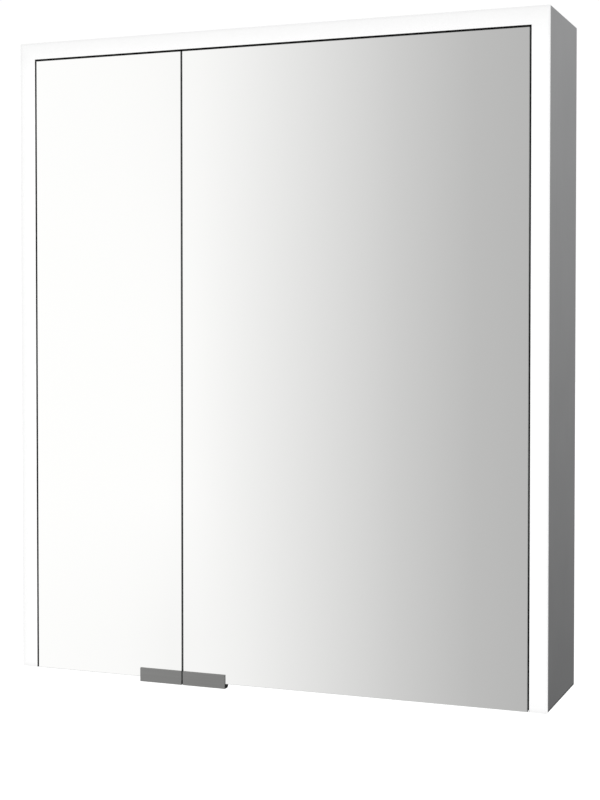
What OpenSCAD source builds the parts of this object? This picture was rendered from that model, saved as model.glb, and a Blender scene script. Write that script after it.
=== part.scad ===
// Wall-hung medicine cabinet with two mirror doors inside an illuminated frame.
// Right-handed frame in millimetres: +X to the viewer's right, +Y to the wall, +Z up.
// The origin is on the wall plane, at the centre of the four wall fixing holes.

/* [Cabinet] */
// Overall width
cab_w = 600; // [560:10:900]
// Height of the body
cab_h = 700; // [660:10:800]
// Overall depth, wall to the front of the doors
cab_d = 135; // [130:1:160]
// Width of the glowing frame at the top and sides
frame_w = 18.2; // [17:0.1:24]
// How far the doors and the frame's cover reach below the body
front_drop = 0.7; // [0:0.1:1.5]
// Wall of the aluminium profiles
wall_t = 1.6; // [1.4:0.1:2]

/* [Doors] */
// X of the gap between the two doors
split_x = -100.5; // [-140:0.5:100]
// Gap between a door and the light seal
side_gap = 1.3; // [1.3:0.1:2.5]
// Gap above the doors
top_gap = 1.5; // [1.5:0.1:3]
// Gap between the two doors
mid_gap = 1.5; // [1.5:0.1:3]
// Thickness of each mirror pane
glass_t = 3; // [3:0.5:4]
// Thickness of the door's core board
core_t = 10; // [10:0.5:12]

/* [Handles] */
// Length of each handle
handle_len = 50; // [40:1:70]
// Height of the handle's front plate
handle_h = 15; // [14:0.5:20]
// How far the handle hangs under the door
handle_drop = 5; // [4.5:0.5:8]
// Depth of the grip under the door, from the front of the plate
handle_leg = 9.5; // [8:0.5:14]

/* [Inside] */
// Height of the upper hinges
hinge_upper_z = 225; // [200:1:240]
// Height of the lower hinges
hinge_lower_z = -255; // [-270:1:-220]
// Top of the lower shelf
shelf_lower_z = -124; // [-140:4:-108]
// Top of the upper shelf
shelf_upper_z = 81; // [65:4:97]
// Thickness of the glass shelves
shelf_t = 6; // [5:0.5:8]

/* [Hidden] */
$fn = 64;

// Body
half_w = cab_w / 2;
half_h = cab_h / 2;
open_x = half_w - frame_w;
open_z = half_h - frame_w;
rear_t = 2;
rear_inset = 3;
lens_t = 3;
profile_d = cab_d - rear_t - lens_t;
web_q = profile_d - 18;
cap_t = 2;
bottom_t = 18;
mirror_t = 3;

// Doors
door_t = glass_t + core_t + glass_t;
front_y = -cab_d;
door_back_y = front_y + door_t;
seal_t = 0.5;
seal_d = 13;
door_x = open_x - seal_t - side_gap;
door_top = open_z - seal_t - top_gap;
front_bottom = -half_h - front_drop;
door_bottom = front_bottom;
glass_chamfer = 0.5;
core_setback = 0.3;
swing_room = 11;
bottom_front_y = door_back_y + swing_room;
buffer_offset = [-110, -30, 30, 250];

// Hinges, in plan about the pin: u runs inwards from the side wall, v runs out of the front
pin_inset = 18;
pin_depth = 3.2 + glass_t;
pin_x = door_x - pin_inset;
pin_y = front_y + pin_depth;
pin_r = 1.25;
pin_len = 26;
run_clear = 0.04;
fit_clear = 0.1;
cup_r = 17.4;
cup_u = 2.5;
slot_h = 10.8;
arm_h = 10;
arm_body_h = 14;
slot_end_u = 10;
flange_t = 1.2;
plate_t = 5;
wall_u = pin_x - open_x;
elbow = [9.7, -21];
shoulder = [-7, -36];
arm_end_v = -74;
cup_screw_z = 22.5;
cup_screw_u = 4;
plate_screw_z = 16;
plate_screw_v = -57;
arm_screw_v = [-60, -50];
channel_depth = 6;

// Wall fixing
fix_x = 230;
fix_z = 250;
fix_r = 3.25;
access_r = 9;

// Electrics housing under the top panel
box_z = open_z - 48;
box_front_y = -100;
sheet_t = 1.2;
lip_h = 14;
lip_t = 2;
lip_y = box_front_y + sheet_t;
driver_x = [-60, 130];
driver_y = -50;
driver_h = 27;
driver_screw_x = [driver_x[0] - 5, driver_x[1] + 5];
lead_x = -206.5;
lead_y = -60;
led_y = -rear_t - web_q - wall_t;
grommet_x = 95;
grommet_z = box_z + 26;
socket_x = -215;
socket_z = box_z + 24;
socket_r = 19.5;
socket_recess = 16;
insert_w = 44;
switch_x = socket_x + 56;
switch_w = 24;
rocker_tilt = 7;
rocker_axis_y = box_front_y - 0.4;

// Shelves
shelf_x = open_x - 2;
shelf_back_y = -rear_t - mirror_t - 2;
shelf_front_y = -105;
peg_y = [-25, -90];
peg_r = 2.5;
peg_hole_r = 2.55;
peg_pitch = 32;

// ---------- helpers ----------

// Box from two opposite corners
module box(a, b) {
    translate([min(a.x, b.x), min(a.y, b.y), min(a.z, b.z)])
        cube([abs(b.x - a.x), abs(b.y - a.y), abs(b.z - a.z)]);
}

// Draws its children for the right side, or mirrored for the left side
module on_side(right) {
    if (right) children();
    else mirror([1, 0, 0]) children();
}

// Shape drawn in the XZ plane, with its thickness along Y from y0 to y1
module slab_xz(y0, y1) {
    translate([0, max(y0, y1), 0]) rotate([90, 0, 0]) linear_extrude(abs(y1 - y0)) children();
}

// Cylinder along Y from y0 to y1
module rod_y(x, z, y0, y1, r) {
    translate([x, max(y0, y1), z]) rotate([90, 0, 0]) cylinder(h = abs(y1 - y0), r = r);
}

// Cylinder along X from x0 to x1
module rod_x(x0, x1, y, z, r) {
    translate([min(x0, x1), y, z]) rotate([0, 90, 0]) cylinder(h = abs(x1 - x0), r = r);
}

// Rectangle with round corners, about its centre
module rounded(w, h, r) {
    square([w - 2 * r, h], center = true);
    square([w, h - 2 * r], center = true);
    for (sx = [-1, 1], sy = [-1, 1]) translate([sx * (w / 2 - r), sy * (h / 2 - r)]) circle(r);
}

// Bar with round ends between two points in plan
module bar(a, b, w) {
    run = norm(b - a);
    translate(a) rotate(atan2(b.y - a.y, b.x - a.x)) translate([0, -w / 2]) square([run, w]);
    translate(a) circle(w / 2);
    translate(b) circle(w / 2);
}

// Pan head screw: the head stands on z = 0 and the shank runs down, with a cross recess
module pan_screw(len, r, head_r, head_h) {
    recess = head_r * 1.1;
    difference() {
        union() {
            translate([0, 0, -len]) cylinder(h = len, r = r);
            cylinder(h = head_h, r = head_r);
        }
        for (turn = [0, 90]) rotate(turn)
            translate([-recess / 2, -0.4, head_h - 1]) cube([recess, 0.8, 2]);
    }
}

// Countersunk screw: the flat of the head is on z = 0 and the shank runs down
module flat_screw(len, r, head_r, head_h) {
    recess = head_r * 1.1;
    difference() {
        union() {
            translate([0, 0, -len]) cylinder(h = len, r = r);
            translate([0, 0, -head_h]) cylinder(h = head_h, r1 = r, r2 = head_r);
        }
        for (turn = [0, 90]) rotate(turn)
            translate([-recess / 2, -0.4, -0.9]) cube([recess, 0.8, 2]);
    }
}

// ---------- body ----------

// Section of the frame profile: p from the inside face outwards, q from the rear forwards
module frame_section() {
    inner_w = frame_w - 2 * wall_t;
    difference() {
        square([frame_w, profile_d]);
        translate([wall_t, wall_t]) square([inner_w, web_q - wall_t]);
        translate([wall_t, web_q + wall_t]) square([inner_w, profile_d]);
    }
}

// Trapezium of one mitred side, in the XZ plane
module side_outline(bottom) {
    polygon([[open_x, bottom], [half_w, bottom], [half_w, half_h], [open_x, open_z]]);
}

module side_panel(right) {
    color("#8f9190") on_side(right) difference() {
        intersection() {
            translate([open_x, -rear_t, -half_h + cap_t])
                linear_extrude(cab_h) mirror([0, 1]) frame_section();
            slab_xz(-rear_t, -rear_t - profile_d) side_outline(-half_h + cap_t);
        }
        for (y = peg_y, first = [shelf_lower_z, shelf_upper_z], k = [-1 : 1])
            rod_x(open_x - 1, open_x + wall_t + 1, y, first - shelf_t - peg_r + k * peg_pitch, peg_hole_r);
        for (z = [hinge_upper_z, hinge_lower_z], s = [-1, 1])
            rod_x(open_x - 1, open_x + wall_t + 1, pin_y - plate_screw_v, z + s * plate_screw_z, 2.05);
        rear_screw_holes();
    }
}

module top_panel() {
    color("#8f9190") difference() {
        union() {
            intersection() {
                translate([-half_w, -rear_t, open_z]) rotate([90, 0, 90])
                    linear_extrude(cab_w) rotate(90) frame_section();
                slab_xz(-rear_t, -rear_t - profile_d)
                    polygon([[-half_w, half_h], [half_w, half_h], [open_x, open_z], [-open_x, open_z]]);
            }
            box([-open_x + 1, lip_y, open_z - lip_h], [open_x - 1, lip_y + lip_t, open_z + wall_t / 2]);
        }
        box([socket_x - 24, lip_y - 1, open_z - lip_h - 1], [switch_x + 14, lip_y + lip_t + 1, open_z]);
        for (s = [-1, 0, 1])
            rod_y(s * (open_x - 30), open_z - lip_h / 2, lip_y - 1, lip_y + lip_t + 1, 1.55);
        translate([lead_x, lead_y, open_z - 1]) cylinder(h = wall_t + 2, r = 4);
        rod_y(lead_x, open_z + frame_w / 2, led_y - 1, led_y + wall_t + 1, 4);
        for (x = driver_screw_x) translate([x, driver_y, open_z - 1]) cylinder(h = wall_t + 2, r = 1.55);
        rear_screw_holes();
    }
}

module bottom_panel() {
    color("#8f9190") difference() {
        box([-open_x, -rear_t, -half_h], [open_x, bottom_front_y, -half_h + bottom_t]);
        box([-open_x - 1, -rear_t - wall_t, -half_h + wall_t],
            [open_x + 1, bottom_front_y + wall_t, -half_h + bottom_t - wall_t]);
        rear_screw_holes();
    }
}

// Die-cast elbow that holds each mitre together inside the profile's main cavity
module corner_brackets() {
    leg = 50;
    in_w = frame_w - 2 * wall_t - 0.4;
    mid = wall_t + 0.2;
    color("silver") for (right = [true, false]) on_side(right)
        slab_xz(-rear_t - 40, -rear_t - 75) polygon([
            [open_x + mid, open_z - leg], [open_x + mid + in_w, open_z - leg],
            [open_x + mid + in_w, open_z + mid + in_w], [open_x - leg, open_z + mid + in_w],
            [open_x - leg, open_z + mid], [open_x + mid, open_z + mid]]);
}

// Block inside each end of the bottom panel, screwed to the side panel
module bottom_connectors() {
    color("silver") for (right = [true, false]) on_side(right)
        box([open_x - 30, -20, -half_h + wall_t + 0.1], [open_x, -95, -half_h + bottom_t - wall_t - 0.1]);
}

module end_cap(right) {
    plug = 6;
    color("#6f7170") on_side(right) {
        box([open_x, -rear_t, -half_h], [half_w, -rear_t - profile_d, -half_h + cap_t]);
        box([open_x + wall_t + 0.2, -rear_t - wall_t - 0.2, -half_h + cap_t],
            [half_w - wall_t - 0.2, -rear_t - web_q + 0.2, -half_h + cap_t + plug]);
    }
}

// Rear screws: down the middle of both side profiles, and along the top and the bottom
module rear_screw_places() {
    side = half_w - frame_w / 2;
    for (s = [-1, 1], z = [30 - half_h, 0, half_h - 40]) translate([s * side, z]) children();
    for (s = [-1, 1], z = [-half_h + bottom_t / 2, half_h - frame_w / 2])
        translate([s * side / 3, z]) children();
}

// The pilot holes of the rear screws in the rear walls of the profiles
module rear_screw_holes() {
    rotate([90, 0, 0]) rear_screw_places() cylinder(h = rear_t + wall_t + 2, r = 1.55);
}

module rear_panel() {
    color("#b9bbba") difference() {
        slab_xz(0, -rear_t) difference() {
            rounded(cab_w - 2 * rear_inset, cab_h - 2 * rear_inset, 3);
            for (sx = [-1, 1], sz = [-1, 1]) translate([sx * fix_x, sz * fix_z]) circle(fix_r);
            translate([grommet_x, grommet_z]) circle(8);
        }
        rotate([90, 0, 0]) rear_screw_places() {
            translate([0, 0, -1]) cylinder(h = 4, r = 1.6);
            translate([0, 0, -1]) cylinder(h = 1.2, r = 3.3);
            translate([0, 0, 0.2]) cylinder(h = 1.4, r1 = 3.3, r2 = 1.6);
        }
    }
}

module rear_screws() {
    color("silver") rotate([90, 0, 0]) rear_screw_places()
        translate([0, 0, 0.25]) rotate([180, 0, 0]) flat_screw(6, 1.5, 3.1, 1.3);
}

module back_mirror() {
    color("gainsboro") slab_xz(-rear_t, -rear_t - mirror_t) difference() {
        translate([-open_x + 1, -half_h + bottom_t + 0.5])
            square([2 * open_x - 2, box_z - 1 + half_h - bottom_t]);
        for (sx = [-1, 1], sz = [-1, 1]) translate([sx * fix_x, sz * fix_z]) circle(access_r);
    }
}

module fixing_washers() {
    color("silver") for (sx = [-1, 1], sz = [-1, 1]) difference() {
        union() {
            rod_y(sx * fix_x, sz * fix_z, -rear_t, -rear_t - mirror_t, access_r - 0.3);
            rod_y(sx * fix_x, sz * fix_z, -rear_t - mirror_t, -rear_t - mirror_t - 1, access_r + 2);
        }
        rod_y(sx * fix_x, sz * fix_z, 0, -10, fix_r);
    }
}

// ---------- light ----------

module light_diffuser() {
    leg_d = 7;
    leg_t = 1.5;
    leg_p = wall_t + 0.2;
    leg_y = front_y + lens_t;
    inner = open_x + leg_p;
    outer = half_w - leg_p;
    color("white") {
        slab_xz(front_y, leg_y) polygon([[-half_w, front_bottom], [-half_w, half_h], [half_w, half_h],
            [half_w, front_bottom], [open_x, front_bottom], [open_x, open_z], [-open_x, open_z],
            [-open_x, front_bottom]]);
        for (s = [-1, 1]) {
            box([s * inner, leg_y, -half_h + cap_t + 1], [s * (inner + leg_t), leg_y + leg_d, open_z - 2]);
            box([s * outer, leg_y, -half_h + cap_t + 1], [s * (outer - leg_t), leg_y + leg_d, open_z - 2]);
        }
        box([-open_x + 2, leg_y, open_z + leg_p], [open_x - 2, leg_y + leg_d, open_z + leg_p + leg_t]);
        box([-open_x + 2, leg_y, half_h - leg_p], [open_x - 2, leg_y + leg_d, half_h - leg_p - leg_t]);
    }
}

// Circuit strip with its row of light chips, along +X from the origin, facing -Y
module led_strip(len) {
    strip_w = 10;
    strip_t = 1.2;
    pitch = 16.6;
    chips = floor(len / pitch);
    color("white") box([0, 0, -strip_w / 2], [len, -strip_t, strip_w / 2]);
    color("khaki") for (k = [0 : chips - 1])
        translate([pitch * (k + 0.5), -strip_t - 0.4, 0]) cube([3, 0.8, 3], center = true);
}

module led_strip_side(right) {
    run = open_z + half_h - cap_t - 10;
    translate([(right ? 1 : -1) * (open_x + frame_w / 2), led_y, -half_h + cap_t + 4])
        rotate([0, -90, 0]) led_strip(run);
}

module led_strip_top() {
    run = 2 * open_x - 10;
    translate([-run / 2, led_y, open_z + frame_w / 2]) led_strip(run);
}

module light_seal() {
    z_top = open_z - seal_t;
    color("#141414") slab_xz(front_y + 0.4, front_y + seal_d) polygon([
        [-open_x, front_bottom], [-open_x, open_z], [open_x, open_z], [open_x, front_bottom],
        [open_x - seal_t, front_bottom], [open_x - seal_t, z_top], [-open_x + seal_t, z_top],
        [-open_x + seal_t, front_bottom]]);
}

module door_buffers() {
    z = -half_h + bottom_t / 2;
    color("#e4e4e0") for (offset = buffer_offset) {
        rod_y(split_x + offset, z, bottom_front_y, bottom_front_y - 1.5, 5.5);
        rod_y(split_x + offset, z, bottom_front_y - 1.5, door_back_y + 0.1, 4);
    }
}

// ---------- electrics ----------

module electrics_cover() {
    rim = 12;
    color("#a3a5a4") difference() {
        union() {
            box([-open_x + 0.3, box_front_y, box_z], [open_x - 0.3, lip_y, open_z - 0.3]);
            box([-open_x + 0.3, box_front_y, box_z], [open_x - 0.3, -rear_t - 0.2, box_z + sheet_t]);
            box([-open_x + 0.3, -rear_t - 0.2 - sheet_t, box_z], [open_x - 0.3, -rear_t - 0.2, box_z + rim]);
        }
        translate([socket_x, 0, socket_z]) box([-21, 0, -21], [21, -150, 21]);
        translate([switch_x, 0, socket_z]) box([-10.2, 0, -20.2], [10.2, -150, 20.2]);
        for (s = [-1, 0, 1]) rod_y(s * (open_x - 30), open_z - lip_h / 2, 0, -150, 1.7);
    }
}

module cover_screws() {
    color("silver") for (s = [-1, 0, 1])
        translate([s * (open_x - 30), box_front_y, open_z - lip_h / 2]) rotate([90, 0, 0])
            pan_screw(6, 1.5, 3, 1.8);
}

module led_driver() {
    len = driver_x[1] - driver_x[0];
    deep = 40;
    at = [driver_x[0], driver_y - deep / 2, open_z - driver_h];
    color("whitesmoke") difference() {
        union() {
            translate(at) cube([len, deep, driver_h]);
            for (x = [at.x - 10, at.x + len]) translate([x, at.y + 8, open_z - 2]) cube([10, deep - 16, 2]);
        }
        for (x = driver_screw_x) translate([x, driver_y, open_z - 3]) cylinder(h = 4, r = 1.8);
        for (x = [at.x + 3, at.x + len - 9]) translate([x, at.y - 1, at.z - 1]) cube([6, deep + 2, 1.6]);
    }
}

module driver_screws() {
    color("silver") for (x = driver_screw_x) translate([x, driver_y, open_z - 2]) rotate([180, 0, 0])
        pan_screw(7, 1.5, 3, 1.8);
}

module terminal_block() {
    poles = 3;
    pole_w = 10;
    at = [40, -24, box_z + sheet_t];
    color("ivory") difference() {
        translate(at) cube([poles * pole_w, 18, 15]);
        for (k = [0 : poles - 1]) {
            translate([at.x + pole_w * (k + 0.5), at.y + 9, at.z + 7]) cylinder(h = 20, r = 2.2);
            translate([at.x + pole_w * (k + 0.5), at.y + 19, at.z + 6]) rotate([90, 0, 0])
                cylinder(h = 20, r = 2);
        }
        for (k = [1 : poles - 1]) translate([at.x + pole_w * k - 0.4, at.y - 1, at.z + 10]) cube([0.8, 20, 6]);
    }
}

// Rubber ring in the rear panel, with its groove on the sheet
module cable_grommet() {
    color("#202020") difference() {
        union() {
            rod_y(grommet_x, grommet_z, -0.2, -rear_t, 7.9);
            rod_y(grommet_x, grommet_z, -rear_t, -rear_t - 5, 10.5);
        }
        rod_y(grommet_x, grommet_z, 1, -20, 5);
    }
}

function unit(v) = v / norm(v);

// One ring of a lead about p; dir is the way it runs and ref is a direction it never takes
function lead_ring(p, dir, ref, r, n) = let (
        a = unit(dir),
        b = unit(cross(a, ref)),
        c = cross(a, b))
    [for (k = [0 : n - 1]) p + r * (cos(360 * k / n) * b + sin(360 * k / n) * c)];

function ring_dir(pts, k) = let (last = len(pts) - 1)
    k == 0 ? pts[1] - pts[0]
    : k == last ? pts[last] - pts[last - 1]
    : unit(pts[k] - pts[k - 1]) + unit(pts[k + 1] - pts[k]);

// Smooth curve through the points of a route
function smooth(p, steps) = [for (k = [0 : len(p) - 2], j = [0 : steps - 1])
        let (a = p[max(k - 1, 0)], b = p[k], c = p[k + 1], d = p[min(k + 2, len(p) - 1)], t = j / steps)
        ((2 * b) + (c - a) * t + (2 * a - 5 * b + 4 * c - d) * t * t
            + (3 * b - a - 3 * c + d) * t * t * t) / 2,
    p[len(p) - 1]];

// Flexible lead: a round tube that follows a route
module lead(route, r, ref = [1, 1, -1]) {
    n = 10;
    pts = smooth(route, 3);
    m = len(pts);
    points = [for (k = [0 : m - 1]) each lead_ring(pts[k], ring_dir(pts, k), ref, r, n)];
    sides = [for (k = [0 : m - 2], j = [0 : n - 1]) let (i = (j + 1) % n, u = k * n, v = (k + 1) * n)
        each [[u + j, v + j, v + i], [u + j, v + i, u + i]]];
    first = [for (j = [0 : n - 1]) j];
    last = [for (j = [n - 1 : -1 : 0]) (m - 1) * n + j];
    polyhedron(points, concat(sides, [first, last]), convexity = 6);
}

floor_z = box_z + sheet_t + 3;
pole_z = box_z + sheet_t + 6;
driver_end = driver_x[1];
driver_mid = open_z - driver_h / 2;

// Terminal block to the driver, to the socket and to the switch
module mains_leads() {
    r = 2;
    color("#3a3a3a") {
        lead([[65, -24.2, pole_z], [65.4, -30, pole_z], [70, -38, pole_z - 1], [84, -45, floor_z],
            [106, -49, floor_z], [130, driver_y, floor_z + 1], [144, driver_y, floor_z + 8],
            [149, driver_y, floor_z + 17], [145.5, driver_y, driver_mid - 3], [138, driver_y, driver_mid],
            [driver_end + 0.2, driver_y, driver_mid]], r);
        lead([[45, -24.2, pole_z], [44.6, -29, pole_z], [39, -35, pole_z - 1], [20, -40, floor_z],
            [-30, -43, floor_z], [-90, -44, floor_z], [-150, -45, floor_z], [-190, -46, floor_z + 2],
            [-206, -47, floor_z + 9], [-213, -51, socket_z - 6], [socket_x, -58, socket_z - 1],
            [socket_x, -65.8, socket_z]], r, [1, 1, 1]);
        lead([[55, -24.2, pole_z], [54.6, -32, pole_z], [49, -43, pole_z - 1], [30, -53, floor_z],
            [-10, -58, floor_z], [-70, -60, floor_z], [-120, -61, floor_z + 1], [-144, -62, floor_z + 7],
            [-154, -65, socket_z - 8], [-158.4, -71, socket_z - 1], [switch_x, -79.8, socket_z]],
            r, [1, 1, 1]);
    }
}

// Driver to the top strip, and the links from the top strip to the side strips
module led_leads() {
    mid_z = open_z + frame_w / 2;
    side_x = half_w - frame_w / 2;
    y = led_y - 1.6;
    color("#c8c8c8") {
        lead([[driver_x[0] - 0.2, driver_y, driver_mid], [-68, driver_y, driver_mid], [-84, -51, 316],
            [-110, -52.5, 313], [-140, -55, 311.5], [-168, -57.5, 312], [-188, -59, 314.5], [-200, -60, 319],
            [lead_x + 1, -60.2, 325], [lead_x, lead_y, 331], [lead_x, lead_y - 2, mid_z - 3.6],
            [lead_x, lead_y - 7, mid_z - 0.4], [lead_x, -80, mid_z], [lead_x, led_y + 0.2, mid_z]],
            1.6, [1, 1, -0.2]);
        for (right = [true, false]) on_side(right)
            lead([[open_x - 4.8, led_y - 0.9, mid_z], [open_x, y, mid_z - 0.2],
                [side_x - 2.4, y, mid_z - 3.5], [side_x - 0.2, y, open_z],
                [side_x, led_y - 0.9, open_z - 5.8]], 0.8, [0, 1, 0.2]);
    }
}

module socket_insert() {
    depth = 34;
    frame_t = 2;
    color("white") translate([socket_x, box_front_y, socket_z]) difference() {
        union() {
            slab_xz(0, -frame_t) rounded(insert_w, insert_w, 3);
            rod_y(0, 0, 0, depth, 20.8);
        }
        rod_y(0, 0, -frame_t - 1, socket_recess - frame_t, socket_r);
        for (s = [-1, 1]) rod_y(s * 9.5, 0, 0, depth - 8, 2.5);
        for (s = [-1, 1]) box([-3, -1, s * (socket_r - 1.2)], [3, socket_recess, s * (socket_r + 0.7)]);
    }
}

// Earth clips at the top and bottom of the socket's recess
module socket_contacts() {
    color("silver") translate([socket_x, box_front_y, socket_z]) for (s = [-1, 1]) {
        box([-2, 1, s * (socket_r - 1)], [2, 13, s * (socket_r + 0.5)]);
        box([-2, 3, s * (socket_r - 2.2)], [2, 9, s * (socket_r - 1)]);
    }
}

module switch_frame() {
    frame_t = 2;
    axis_y = rocker_axis_y - box_front_y;
    color("white") translate([switch_x, box_front_y, socket_z]) difference() {
        union() {
            slab_xz(0, -frame_t) rounded(switch_w, insert_w, 3);
            box([-10, 0, -20], [10, 20, 20]);
        }
        box([-8.6, -frame_t - 1, -18.6], [8.6, 10, 18.6]);
        rod_x(-9.6, 9.6, axis_y + 2.4, 0, 1.55);
    }
}

// Rocker on its two trunnions, drawn in its on position
module light_rocker() {
    bow = 5.6;
    color("white") translate([switch_x, rocker_axis_y + 2.4, socket_z]) rotate([rocker_tilt, 0, 0]) {
        box([-8.2, 3, -18], [8.2, -3.4, 18]);
        for (s = [-1, 1]) translate([0, -3.4, s * 9]) rotate([s * bow, 0, 0])
            box([-8.2, 1.2, -8.4], [8.2, -0.6, 8.4]);
        rod_x(-9.4, 9.4, 0, 0, 1.5);
    }
}

// ---------- shelves ----------

module shelf(top) {
    color("lightcyan") translate([0, 0, top - shelf_t]) linear_extrude(shelf_t)
        translate([0, (shelf_back_y + shelf_front_y) / 2])
        rounded(2 * shelf_x, shelf_back_y - shelf_front_y, 3);
}

module shelf_pegs() {
    color("silver") for (right = [true, false], y = peg_y, top = [shelf_lower_z, shelf_upper_z]) {
        z = top - shelf_t - peg_r;
        on_side(right) {
            rod_x(open_x - 9, open_x + 4, y, z, peg_r);
            rod_x(open_x - 1, open_x, y, z, 4);
        }
    }
}

// ---------- hinges ----------

// Puts plan shapes drawn about a pin, in u and v, at a hinge on the right side
module at_pin(z, high) {
    translate([pin_x, pin_y, z - high / 2]) mirror([0, 1, 0]) mirror([1, 0, 0])
        linear_extrude(high) children();
}

module mounting_plate(right, z) {
    color("silver") on_side(right) difference() {
        union() {
            at_pin(z, 44) translate([wall_u, -64]) square([1.8, 14]);
            at_pin(z, 20) translate([wall_u, -73]) square([plate_t, 36]);
        }
        for (s = [-1, 1]) rod_x(open_x - 10, open_x + 2, pin_y - plate_screw_v, z + s * plate_screw_z, 2.05);
        for (v = arm_screw_v) rod_x(open_x - 10, open_x + 2, pin_y - v, z, 2.05);
    }
}

module hinge_arm(right, z) {
    body_w = 11;
    color("#c9cac8") on_side(right) difference() {
        union() {
            at_pin(z, arm_h) {
                circle(2.75);
                bar([0, 0], elbow, 5);
                bar(elbow, shoulder, 6);
            }
            at_pin(z, arm_body_h) translate([wall_u + plate_t, arm_end_v])
                square([body_w, -32 - arm_end_v]);
        }
        translate([pin_x, pin_y, z - 20]) cylinder(h = 40, r = pin_r + run_clear);
        at_pin(z, 8) translate([wall_u + plate_t + body_w - channel_depth, arm_end_v + 8]) square([body_w, 22]);
        at_pin(z, 40) translate([wall_u + plate_t, arm_end_v]) polygon([[5, -1], [body_w + 1, -1], [body_w + 1, 6]]);
        for (v = arm_screw_v) rod_x(pin_x, open_x, pin_y - v, z, 2.05);
        rod_x(pin_x, open_x - plate_t - 4, pin_y + 38, z, 2.6);
    }
}

// Screws of the mounting plates in the side panels, and of the arms on the mounting plates
module hinge_screws() {
    color("silver") for (right = [true, false], z = [hinge_upper_z, hinge_lower_z]) on_side(right) {
        for (s = [-1, 1])
            translate([open_x - 1.8, pin_y - plate_screw_v, z + s * plate_screw_z]) rotate([0, -90, 0])
                pan_screw(12, 2, 3.8, 2);
        for (v = arm_screw_v)
            translate([open_x - plate_t - 11 + channel_depth, pin_y - v, z]) rotate([0, -90, 0])
                pan_screw(8, 2, 3.6, 2);
    }
}

module hinge_cup(right, z) {
    flange_w = 24;
    flange_h = 56;
    color("#c9cac8") on_side(right) difference() {
        union() {
            rod_y(pin_x - cup_u, z, front_y + glass_t + 0.2, door_back_y, cup_r);
            translate([pin_x - cup_screw_u, 0, z]) slab_xz(door_back_y, door_back_y + flange_t)
                rounded(flange_w, flange_h, 6);
            rod_y(pin_x - cup_u, z, door_back_y, door_back_y + flange_t, cup_r + 1.6);
        }
        at_pin(z, slot_h) translate([-30, -20]) square([30 + slot_end_u, 40]);
        translate([pin_x, pin_y, z - 20]) cylinder(h = 40, r = pin_r + 0.02);
        for (s = [-1, 1])
            rod_y(pin_x - cup_screw_u, z + s * cup_screw_z, door_back_y - 5, door_back_y + 5, 2.05);
    }
}

module hinge_pins(right) {
    color("#9a9c9a") on_side(right) for (z = [hinge_upper_z, hinge_lower_z])
        translate([pin_x, pin_y, z - pin_len / 2]) cylinder(h = pin_len, r = pin_r);
}

module cup_screws(right) {
    color("silver") on_side(right) for (z = [hinge_upper_z, hinge_lower_z], s = [-1, 1])
        translate([pin_x - cup_screw_u, door_back_y + flange_t, z + s * cup_screw_z]) rotate([-90, 0, 0])
            pan_screw(9, 2, 3.6, 1.6);
}

// ---------- doors ----------

// The free edge of a door, as X on the right side or on its mirror image
function door_left(right) = right ? split_x + mid_gap / 2 : -split_x + mid_gap / 2;

// Pockets for the cups, and the notches that let the arms out at the hinged edge
module hinge_pockets(deep) {
    for (z = [hinge_upper_z, hinge_lower_z]) {
        rod_y(pin_x - cup_u, z, front_y + glass_t, deep + 1, cup_r + 0.1);
        box([pin_x - cup_u, front_y + glass_t, z - slot_h / 2 - 0.2], [door_x + 1, deep + 1, z + slot_h / 2 + 0.2]);
    }
}

module cup_screw_holes(y0, y1, r) {
    for (z = [hinge_upper_z, hinge_lower_z], s = [-1, 1])
        rod_y(pin_x - cup_screw_u, z + s * cup_screw_z, y0, y1, r);
}

// Pane with a small polished chamfer round its front edge
module front_mirror(right) {
    x0 = door_left(right);
    c = glass_chamfer;
    high = door_top - door_bottom;
    color("gainsboro") on_side(right) intersection() {
        box([x0, front_y, door_bottom], [door_x, front_y + glass_t, door_top]);
        translate([0, 0, door_bottom]) linear_extrude(high) polygon([[x0 + c, front_y], [door_x - c, front_y],
            [door_x, front_y + c], [door_x, front_y + glass_t], [x0, front_y + glass_t], [x0, front_y + c]]);
        translate([x0, 0, 0]) rotate([90, 0, 90]) linear_extrude(door_x - x0) polygon([
            [front_y, door_bottom + c], [front_y + c, door_bottom], [front_y + glass_t, door_bottom],
            [front_y + glass_t, door_top], [front_y + c, door_top], [front_y, door_top - c]]);
    }
}

module door_core(right) {
    back = door_back_y - glass_t;
    e = core_setback;
    color("#161616") on_side(right) difference() {
        box([door_left(right) + e, front_y + glass_t, door_bottom + e], [door_x - e, back, door_top - e]);
        hinge_pockets(back);
        cup_screw_holes(back - 6.2, back + 1, 2.02);
    }
}

module door_back_mirror(right) {
    back = door_back_y - glass_t;
    inset = 1;
    color("gainsboro") on_side(right) difference() {
        box([door_left(right) + inset, back, door_bottom + inset], [door_x - inset, door_back_y, door_top - inset]);
        hinge_pockets(door_back_y);
        cup_screw_holes(back - 1, door_back_y + 1, 2.6);
    }
}

// ---------- handles ----------

tape_t = 0.2;
handle_t = 1;
grip_round = 3.5;

// Flat plate on the front of a door's free corner, hanging a little below the door
module handle(right) {
    x0 = door_left(right);
    y0 = front_y - tape_t;
    z0 = door_bottom - handle_drop;
    color("#7e807f") on_side(right) box([x0, y0 - handle_t, z0], [x0 + handle_len, y0, z0 + handle_h]);
}

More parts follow.
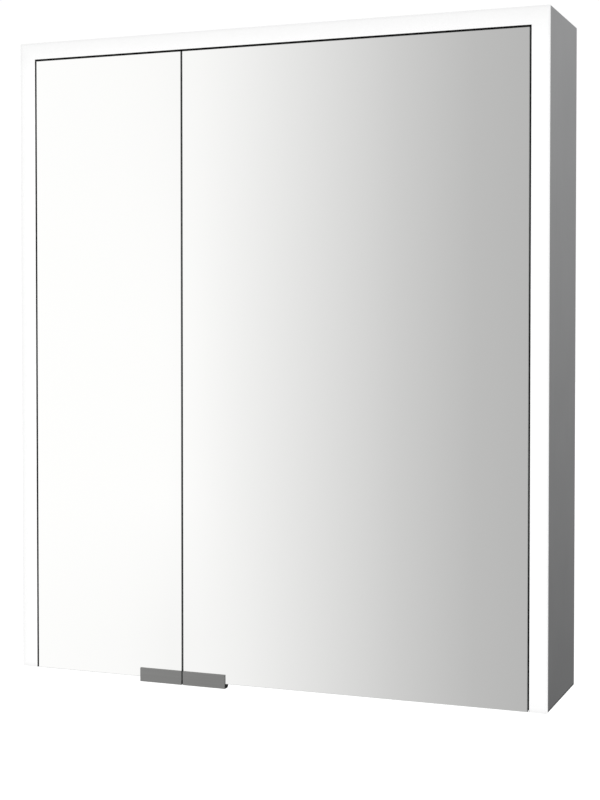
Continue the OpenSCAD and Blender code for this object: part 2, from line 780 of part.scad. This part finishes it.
// Black finger grip behind the plate, under the door, with a thin bonding flange between plate and pane
module handle_grip(right) {
    x0 = door_left(right);
    x1 = x0 + handle_len;
    y0 = front_y - tape_t;
    y1 = y0 - handle_t + handle_leg;
    z0 = door_bottom - handle_drop;
    r = grip_round;
    color("#181818") on_side(right) {
        box([x0, y0, z0], [x1, y1 - r, door_bottom]);
        box([x0, y1 - r, z0 + r], [x1, y1, door_bottom]);
        intersection() {
            box([x0, y1 - r, z0], [x1, y1, z0 + r]);
            rod_x(x0 - 1, x1 + 1, y1 - r, z0 + r, r);
        }
        box([x0 + 1.5, y0, door_bottom], [x1 - 1.5, front_y, z0 + handle_h - 1]);
    }
}

// ---------- assembly ----------

side_panel(false);  // side_panel_left
side_panel(true);  // side_panel_right
top_panel();
bottom_panel();
corner_brackets();
bottom_connectors();
end_cap(false);  // end_cap_left
end_cap(true);  // end_cap_right
rear_panel();
rear_screws();
back_mirror();
fixing_washers();
light_diffuser();
led_strip_side(false);  // led_strip_left
led_strip_side(true);  // led_strip_right
led_strip_top();
light_seal();
door_buffers();
electrics_cover();
cover_screws();
led_driver();
driver_screws();
terminal_block();
cable_grommet();
mains_leads();
led_leads();
socket_insert();
socket_contacts();
switch_frame();
light_rocker();
shelf(shelf_upper_z);  // shelf_upper
shelf(shelf_lower_z);  // shelf_lower
shelf_pegs();
mounting_plate(false, hinge_upper_z);  // mounting_plate_left_upper
mounting_plate(false, hinge_lower_z);  // mounting_plate_left_lower
mounting_plate(true, hinge_upper_z);  // mounting_plate_right_upper
mounting_plate(true, hinge_lower_z);  // mounting_plate_right_lower
hinge_arm(false, hinge_upper_z);  // hinge_arm_left_upper
hinge_arm(false, hinge_lower_z);  // hinge_arm_left_lower
hinge_arm(true, hinge_upper_z);  // hinge_arm_right_upper
hinge_arm(true, hinge_lower_z);  // hinge_arm_right_lower
hinge_screws();
front_mirror(false);  // left_front_mirror
door_core(false);  // left_door_core
door_back_mirror(false);  // left_back_mirror
handle(false);  // left_handle
handle_grip(false);  // left_handle_grip
hinge_cup(false, hinge_upper_z);  // left_hinge_cup_upper
hinge_cup(false, hinge_lower_z);  // left_hinge_cup_lower
hinge_pins(false);  // left_hinge_pins
cup_screws(false);  // left_cup_screws
front_mirror(true);  // right_front_mirror
door_core(true);  // right_door_core
door_back_mirror(true);  // right_back_mirror
handle(true);  // right_handle
handle_grip(true);  // right_handle_grip
hinge_cup(true, hinge_upper_z);  // right_hinge_cup_upper
hinge_cup(true, hinge_lower_z);  // right_hinge_cup_lower
hinge_pins(true);  // right_hinge_pins
cup_screws(true);  // right_cup_screws
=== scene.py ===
import math

import bpy
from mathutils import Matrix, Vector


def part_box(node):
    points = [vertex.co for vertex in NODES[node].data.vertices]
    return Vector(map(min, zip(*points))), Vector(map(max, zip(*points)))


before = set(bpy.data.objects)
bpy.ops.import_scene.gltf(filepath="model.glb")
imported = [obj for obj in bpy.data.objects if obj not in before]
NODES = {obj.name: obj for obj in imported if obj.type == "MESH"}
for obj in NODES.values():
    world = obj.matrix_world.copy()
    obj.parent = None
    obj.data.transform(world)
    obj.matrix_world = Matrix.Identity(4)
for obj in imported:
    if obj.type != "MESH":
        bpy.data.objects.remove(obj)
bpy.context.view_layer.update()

# Everything is in metres, in the CAD's frame: +X right, +Y to the wall, +Z up.
MM = 0.001
COVER_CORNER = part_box("light_diffuser")[1]
HALF_W = COVER_CORNER[0]
HALF_H = COVER_CORNER[2]


# ---------- node helpers ----------

class NodeTree:
    """A node tree, built by short calls."""

    def __init__(self, tree):
        self.tree = tree
        tree.nodes.clear()

    def node(self, kind, **settings):
        made = self.tree.nodes.new(kind)
        for key, value in settings.items():
            setattr(made, key, value)
        return made

    def link(self, source, target):
        self.tree.links.new(source, target)

    def plug(self, value, target):
        """Links an output to a socket, or sets the socket to a constant."""
        if isinstance(value, bpy.types.NodeSocket):
            self.link(value, target)
        elif target.type == "RGBA":
            target.default_value = (*value, 1.0)
        else:
            target.default_value = value

    def math(self, operation, *values):
        made = self.node("ShaderNodeMath", operation=operation)
        for value, target in zip(values, made.inputs):
            self.plug(value, target)
        return made.outputs[0]

    def remap(self, value, low, high, to_low, to_high, smooth=False):
        """Stretches one range of a value to another, and holds it at the ends."""
        shape = "SMOOTHSTEP" if smooth else "LINEAR"
        made = self.node("ShaderNodeMapRange", interpolation_type=shape)
        for number, target in zip((value, low, high, to_low, to_high), made.inputs):
            self.plug(number, target)
        return made.outputs[0]

    def split(self, vector):
        """The X, Y and Z of a vector output."""
        made = self.node("ShaderNodeSeparateXYZ")
        self.link(vector, made.inputs[0])
        return made.outputs


class Shader(NodeTree):
    """A material with one Principled BSDF, whose sockets the keywords set."""

    def __init__(self, name, **values):
        self.material = bpy.data.materials.new(name)
        self.material.use_nodes = True
        super().__init__(self.material.node_tree)
        output = self.node("ShaderNodeOutputMaterial")
        self.bsdf = self.node("ShaderNodeBsdfPrincipled")
        self.link(self.bsdf.outputs["BSDF"], output.inputs["Surface"])
        self.coordinates = self.node("ShaderNodeTexCoord").outputs
        for key, value in values.items():
            self.set(key.replace("_", " "), value)

    def set(self, socket, value):
        self.plug(value, self.bsdf.inputs[socket])

    def noise(self, scale, detail=2.0, roughness=0.5):
        """Noise in object space; its scale in cycles per metre is one number or one for each axis."""
        place = self.node("ShaderNodeMapping")
        place.inputs["Scale"].default_value = scale if isinstance(scale, tuple) else (scale,) * 3
        self.link(self.coordinates["Object"], place.inputs["Vector"])
        made = self.node("ShaderNodeTexNoise")
        made.inputs["Scale"].default_value = 1.0
        made.inputs["Detail"].default_value = detail
        made.inputs["Roughness"].default_value = roughness
        self.link(place.outputs["Vector"], made.inputs["Vector"])
        return made.outputs["Fac"]

    def mix(self, factor, a, b):
        """A mix of two colours; the node keeps the factor in socket 0 and the colours in 6 and 7."""
        made = self.node("ShaderNodeMix", data_type="RGBA")
        self.plug(factor, made.inputs[0])
        self.plug(a, made.inputs[6])
        self.plug(b, made.inputs[7])
        return made.outputs[2]

    def bump(self, height, distance):
        made = self.node("ShaderNodeBump")
        made.inputs["Strength"].default_value = 1.0
        made.inputs["Distance"].default_value = distance
        self.link(height, made.inputs["Height"])
        self.link(made.outputs["Normal"], self.bsdf.inputs["Normal"])

    def axis(self, name):
        """One object coordinate, X, Y or Z."""
        return self.split(self.coordinates["Object"])[name]

    def normal(self, name):
        """One component of the surface normal, X, Y or Z."""
        return self.split(self.coordinates["Normal"])[name]

    def facing(self, name, threshold=0.9):
        """1 where the surface faces along + or - of an object axis, else 0."""
        return self.math("GREATER_THAN", self.math("ABSOLUTE", self.normal(name)), threshold)


# ---------- materials ----------

def grained(name, colour, shade, scale, depth, roughness, coat=0.0):
    """Moulded or coated surface: an even colour with a faint mottle and a fine grain."""
    s = Shader(name, Coat_Weight=coat)
    mottle = s.noise(60, detail=3.0)
    grain = s.noise(scale)
    s.set("Base Color", s.mix(s.remap(mottle, 0.3, 0.7, 0.0, 1.0), colour, shade))
    s.set("Roughness", s.remap(grain, 0.2, 0.8, roughness - 0.05, roughness + 0.06))
    s.bump(grain, depth)
    return s.material


def brushed(name, colour, shade, along, roughness, depth=0.01 * MM, streak=1400):
    """Brushed, cast or plated metal whose fine lines run along one axis."""
    s = Shader(name, Metallic=1.0)
    along_streak = 9
    scale = tuple(along_streak if axis == along else streak for axis in "XYZ")
    lines = s.noise(scale, detail=3.0, roughness=0.65)
    cloud = s.noise(14)
    s.set("Base Color", s.mix(s.remap(cloud, 0.3, 0.7, 0.0, 1.0), colour, shade))
    s.set("Roughness", s.remap(lines, 0.25, 0.75, roughness - 0.05, roughness + 0.07))
    s.bump(lines, depth)
    return s.material


def silvered():
    """Silvered pane: mirror on its two faces, ground and polished glass at its edge and chamfer; the chamfer
    facing down is painted paler, a painted highlight for light caught from the floor.
    """
    silver = (0.925, 0.925, 0.915)
    edge_glass = (0.17, 0.18, 0.175)
    edge_shade = tuple(0.7 * v for v in edge_glass)
    chamfer_glass = (0.31, 0.32, 0.315)
    # Painted highlight: a paler colour for the chamfer facing down, standing in for the floor's light on it
    painted_lit_low_chamfer = (0.56, 0.57, 0.565)
    ground_roughness = 0.16
    s = Shader("mirror_pane")
    face = s.facing("Y")
    edge = s.mix(s.noise(30), edge_glass, edge_shade)
    # The chamfer facing down gets the painted highlight colour; the other chamfers keep the plain chamfer
    # colour
    chamfer = s.mix(s.math("LESS_THAN", s.normal("Z"), -0.5), chamfer_glass, painted_lit_low_chamfer)
    wipe = s.noise((7, 7, 2.5), detail=4.0, roughness=0.6)
    mirror_roughness = s.remap(wipe, 0.3, 0.8, 0.004, 0.014)
    s.set("Base Color", s.mix(face, s.mix(s.facing("Y", 0.5), edge, chamfer), silver))
    s.set("Metallic", face)
    s.set("Roughness", s.mix(face, (ground_roughness,) * 3, mirror_roughness))
    return s.material


def opal():
    """Lit opal cover: even glow that falls off towards its outer edge, over a shorter way at the right."""
    rim_glow, band_glow, face_glow, top_share = 0.38, 0.45, 0.495, 0.915
    rim_width, band_width = 4 * MM, 15 * MM
    top_bar_low, top_bar_high = HALF_H - 32 * MM, HALF_H - 16 * MM
    right_steepness = 5.0
    s = Shader("opal_glow", Base_Color=(0.60, 0.60, 0.60), Roughness=0.35)
    from_left = s.math("ADD", s.axis("X"), HALF_W)
    from_right = s.math("SUBTRACT", HALF_W, s.axis("X"))
    from_end = s.math("SUBTRACT", HALF_H, s.math("ABSOLUTE", s.axis("Z")))
    from_side = s.math("MINIMUM", from_left, s.math("MULTIPLY", from_right, right_steepness))
    inward = s.math("MINIMUM", from_side, from_end)
    rim = s.remap(inward, 0.0, rim_width, rim_glow, band_glow, smooth=True)
    band = s.remap(inward, rim_width, band_width, 0.0, face_glow - band_glow)
    top_bar = s.remap(s.axis("Z"), top_bar_low, top_bar_high, 1.0, top_share)
    cells = s.remap(s.noise(60, detail=1.0), 0.3, 0.7, 0.99, 1.01)
    uneven = s.math("MULTIPLY", top_bar, cells)
    s.set("Emission Color", (1.0, 1.0, 1.0))
    s.set("Emission Strength", s.math("MULTIPLY", s.math("ADD", rim, band), uneven))
    s.bump(s.noise(2500), 0.004 * MM)
    return s.material


def clear_glass():
    """Toughened shelf glass, greener at its polished edge."""
    edge_green = (0.45, 0.78, 0.66)
    face_clear = (0.94, 0.985, 0.965)
    s = Shader("shelf_glass", Transmission_Weight=1.0, IOR=1.5)
    smear = s.noise(9, detail=4.0)
    s.set("Base Color", s.mix(s.facing("Z"), edge_green, face_clear))
    s.set("Roughness", s.remap(smear, 0.4, 0.8, 0.004, 0.03))
    return s.material


def circuit():
    """White board with its yellow light chips, which stand in front of it."""
    board_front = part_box("led_strip_top")[1][1] - 1.3 * MM
    chip_yellow = (0.9, 0.78, 0.35)
    s = Shader("led_board", Roughness=0.4)
    chip = s.math("LESS_THAN", s.axis("Y"), board_front)
    grain = s.noise(900)
    board = s.mix(grain, (0.86, 0.87, 0.84), (0.8, 0.8, 0.77))
    s.set("Base Color", s.mix(chip, board, chip_yellow))
    s.set("Emission Color", (1.0, 0.96, 0.88))
    s.set("Emission Strength", s.math("MULTIPLY", chip, 3.0))
    s.bump(grain, 0.01 * MM)
    return s.material


# Colour, shade, direction of the lines and roughness of each metal
ALUMINIUM = ((0.60, 0.605, 0.61), (0.57, 0.575, 0.58))
ALU_Z = brushed("aluminium_upright", *ALUMINIUM, "Z", 0.34)
ALU_X = brushed("aluminium_cross", *ALUMINIUM, "X", 0.34)
COVER = brushed("cover_sheet", (0.70, 0.705, 0.71), (0.67, 0.675, 0.68), "X", 0.30)
HANDLE = brushed("handle_aluminium", (0.298, 0.298, 0.293), (0.286, 0.286, 0.281), "X", 0.36)
CAST = brushed("nickel_casting", (0.70, 0.69, 0.67), (0.66, 0.655, 0.64), "Y", 0.24, 0.004 * MM, streak=700)
STEEL = brushed("zinc_steel", (0.62, 0.62, 0.60), (0.52, 0.52, 0.50), "Y", 0.28, streak=500)

# Colour, shade, scale and depth of the grain, and roughness of each coating, plastic and rubber
COAT = grained("grey_coat", (0.48, 0.485, 0.48), (0.45, 0.455, 0.45), 1500, 0.02 * MM, 0.5)
CAP = grained("grey_cap", (0.10, 0.102, 0.102), (0.085, 0.087, 0.087), 2200, 0.02 * MM, 0.55)
CORE = grained("black_core", (0.012, 0.012, 0.012), (0.018, 0.018, 0.018), 1800, 0.02 * MM, 0.6)
RUBBER = grained("black_rubber", (0.010, 0.010, 0.010), (0.016, 0.016, 0.016), 2600, 0.02 * MM, 0.7)
GRIP = grained("grip_rubber", (0.007, 0.007, 0.007), (0.011, 0.011, 0.011), 2600, 0.02 * MM, 0.75)
BUFFER = grained("soft_buffer", (0.75, 0.76, 0.75), (0.68, 0.69, 0.68), 1200, 0.01 * MM, 0.35)
WHITE = grained("white_moulding", (0.82, 0.82, 0.80), (0.79, 0.79, 0.77), 2400, 0.008 * MM, 0.30, coat=0.2)
DARK_LEAD = grained("lead_sheath", (0.03, 0.03, 0.03), (0.045, 0.045, 0.045), 1500, 0.02 * MM, 0.5)
PALE_LEAD = grained("led_lead_sheath", (0.70, 0.70, 0.69), (0.62, 0.62, 0.61), 1500, 0.01 * MM, 0.45)


def paint(material, *nodes):
    for name in nodes:
        mesh = NODES[name].data
        mesh.materials.clear()
        mesh.materials.append(material)


paint(ALU_Z, "side_panel_left", "side_panel_right")
paint(ALU_X, "top_panel", "bottom_panel")
paint(CAP, "end_cap_left", "end_cap_right")
paint(COAT, "rear_panel")
paint(COVER, "electrics_cover")
paint(HANDLE, "left_handle", "right_handle")
paint(silvered(), *(name for name in NODES if name.endswith("mirror")))
paint(opal(), "light_diffuser")
paint(circuit(), "led_strip_left", "led_strip_right", "led_strip_top")
paint(clear_glass(), "shelf_upper", "shelf_lower")
paint(RUBBER, "light_seal", "cable_grommet")
paint(CORE, "left_door_core", "right_door_core")
paint(GRIP, "left_handle_grip", "right_handle_grip")
paint(BUFFER, "door_buffers")
paint(DARK_LEAD, "mains_leads")
paint(PALE_LEAD, "led_leads")
paint(WHITE, "led_driver", "terminal_block", "socket_insert", "switch_frame", "light_rocker")

# Words in the names of the cast and the plated pieces
CASTINGS = ("mounting_plate", "hinge_arm", "hinge_cup", "brackets", "connectors")
FASTENINGS = ("screws", "pins", "washers", "pegs", "contacts")
for name in NODES:
    if any(word in name for word in CASTINGS):
        paint(CAST, name)
    elif any(word in name for word in FASTENINGS):
        paint(STEEL, name)


# ---------- edges ----------

def soften(width, *nodes):
    """Breaks the sharp edges of simple CAD pieces by a small round."""
    for name in nodes:
        modifiers = NODES[name].modifiers
        modifiers.new("weld", "WELD").merge_threshold = 0.002 * MM
        bevel = modifiers.new("edge_break", "BEVEL")
        bevel.width = width
        bevel.segments = 2
        bevel.limit_method = "ANGLE"
        bevel.angle_limit = math.radians(40)
        bevel.use_clamp_overlap = False
        bevel.miter_outer = "MITER_ARC"
        modifiers.new("even_normals", "WEIGHTED_NORMAL").weight = 60


soften(0.15 * MM, "left_handle", "right_handle")
soften(0.3 * MM, "left_door_core", "right_door_core")
soften(0.5 * MM, "shelf_upper", "shelf_lower")
soften(0.3 * MM, "light_rocker", "end_cap_left", "end_cap_right", "led_driver", "terminal_block")


# ---------- camera ----------

CAMERA_PLACE = (0.627, -1.647, 0.039)
CAMERA_DIP, CAMERA_TURN = 1.44, 21.33
FOCAL_LENGTH, SENSOR_WIDTH = 69.67, 36
PICTURE_SHIFT = -0.0495

camera = bpy.data.objects.new("camera", bpy.data.cameras.new("camera"))
camera.location = CAMERA_PLACE
camera.rotation_euler = (math.radians(90 - CAMERA_DIP), 0.0, math.radians(CAMERA_TURN))
camera.data.lens = FOCAL_LENGTH
camera.data.sensor_width = SENSOR_WIDTH
camera.data.shift_y = PICTURE_SHIFT
bpy.context.scene.collection.objects.link(camera)
bpy.context.scene.camera = camera
bpy.context.scene.view_settings.view_transform = "Standard"


# ---------- light ----------

# Brightness of the studio in front of the cabinet, by bearing from straight ahead in radians, + to the right
FRONT_STOPS = [(-0.9, 1.12), (-0.46, 1.07), (-0.44, 1.04), (-0.41, 0.945), (-0.38, 0.86), (-0.33, 0.72),
               (-0.31, 0.66), (-0.28, 0.59), (-0.26, 0.545), (-0.23, 0.515), (0.0, 0.48), (0.25, 0.52),
               (0.6, 0.78), (0.9, 0.95)]
# Dimmer patch of it at the left: its share across by bearing, times its depth by height in radians
PATCH_ACROSS = [(-0.60, 0.0), (-0.51, 0.35), (-0.485, 0.5), (-0.455, 1.0), (-0.44, 0.54), (-0.425, 0.27),
                (-0.41, 0.0)]
PATCH_UP = [(-0.30, 0.08), (-0.20, 0.065), (-0.115, 0.0), (0.0, 0.005), (0.06, 0.018), (0.14, 0.035),
            (0.2, 0.045)]
# Brightness seen by metal elsewhere, and by matt surfaces, by height above the horizon in radians
AROUND_STOPS = [(-1.6, 0.10), (-0.3, 0.155), (-0.2, 0.22), (0.0, 0.345), (0.2, 0.48), (0.6, 0.80),
                (1.6, 0.95)]
SOFT_STOPS = [(-1.6, 0.25), (-0.3, 0.32), (0.3, 0.55), (1.6, 0.75)]
# How far the stops reach to each side, and up and down
BEARING_REACH, HEIGHT_REACH = 0.9, 1.6
# White behind the cabinet, as the camera sees it
BACKDROP = 1.02


def world_light():
    """Shaped studio for reflections, soft light for matt surfaces, and white for the camera itself."""
    world = bpy.data.worlds.new("studio")
    bpy.context.scene.world = world
    world.use_nodes = True
    w = NodeTree(world.node_tree)

    def curve(value, reach, stops):
        """Brightness through stops of (value, brightness); the ramp holds half of it, so that 1.12 fits."""
        ramp = w.node("ShaderNodeValToRGB")
        elements = ramp.color_ramp.elements
        elements.remove(elements[-1])
        for index, (at, brightness) in enumerate(stops):
            place = (at + reach) / (2 * reach)
            stop = elements[0] if index == 0 else elements.new(place)
            stop.position = place
            stop.color = (brightness / 2,) * 3 + (1.0,)
        w.link(w.remap(value, -reach, reach, 0.0, 1.0), ramp.inputs["Fac"])
        return w.math("MULTIPLY", ramp.outputs["Color"], 2.0)

    def blend(share, rest, part):
        """The part where the share is 1, and the rest where it is 0."""
        others = w.math("SUBTRACT", 1.0, share)
        return w.math("ADD", w.math("MULTIPLY", part, share), w.math("MULTIPLY", rest, others))

    x, y, z = w.split(w.node("ShaderNodeTexCoord").outputs["Generated"])
    ahead = w.math("MULTIPLY", y, -1.0)
    bearing = w.math("ARCTAN2", x, ahead)
    height = w.math("ARCSINE", z)
    patch_across = curve(bearing, BEARING_REACH, PATCH_ACROSS)
    patch = w.math("MULTIPLY", patch_across, curve(height, HEIGHT_REACH, PATCH_UP))
    undimmed = curve(bearing, BEARING_REACH, FRONT_STOPS)
    front = w.math("MULTIPLY", undimmed, w.math("SUBTRACT", 1.0, patch))
    around = curve(height, HEIGHT_REACH, AROUND_STOPS)
    soft = curve(height, HEIGHT_REACH, SOFT_STOPS)
    reflected = blend(w.remap(ahead, 0.45, 0.8, 0.0, 1.0, smooth=True), around, front)
    ray = w.node("ShaderNodeLightPath").outputs
    indirect = blend(ray["Is Glossy Ray"], soft, reflected)
    background = w.node("ShaderNodeBackground")
    w.link(blend(ray["Is Camera Ray"], indirect, BACKDROP), background.inputs["Color"])
    w.link(background.outputs[0], w.node("ShaderNodeOutputWorld").inputs["Surface"])


def area_light(name, place, size, power):
    """Round soft light aimed at the middle of the cabinet; reflections don't show it."""
    data = bpy.data.lights.new(name, "AREA")
    data.shape = "DISK"
    data.size = size
    data.energy = power
    lamp = bpy.data.objects.new(name, data)
    lamp.location = place
    x, y, z = place
    lamp.rotation_euler = (math.atan2(math.hypot(x, y), z), 0.0, math.atan2(x, -y))
    lamp.visible_glossy = False
    bpy.context.scene.collection.objects.link(lamp)


world_light()
area_light("key_light", (1.6, -2.4, 2.2), 1.8, 6)
area_light("fill_light", (-2.2, -1.6, 1.0), 2.0, 3)
area_light("rear_light", (-0.6, 2.2, 1.8), 2.0, 30)


# ---------- floor ----------

def studio_floor(height, reach):
    """Pale floor well below the wall-hung cabinet; reflections don't show it."""
    mesh = bpy.data.meshes.new("studio_floor")
    corners = [(x * reach, y * reach, height) for x, y in ((-1, -1), (1, -1), (1, 1), (-1, 1))]
    mesh.from_pydata(corners, [], [(0, 1, 2, 3)])
    plane = bpy.data.objects.new("studio_floor", mesh)
    bpy.context.scene.collection.objects.link(plane)
    s = Shader("floor_paint", Roughness=0.8)
    s.set("Base Color", s.mix(s.noise(3), (0.86, 0.86, 0.86), (0.84, 0.84, 0.84)))
    s.set("Emission Color", (1.0, 1.0, 1.0))
    s.set("Emission Strength", 0.55)
    mesh.materials.append(s.material)
    plane.visible_glossy = False


studio_floor(-1.2, 30)
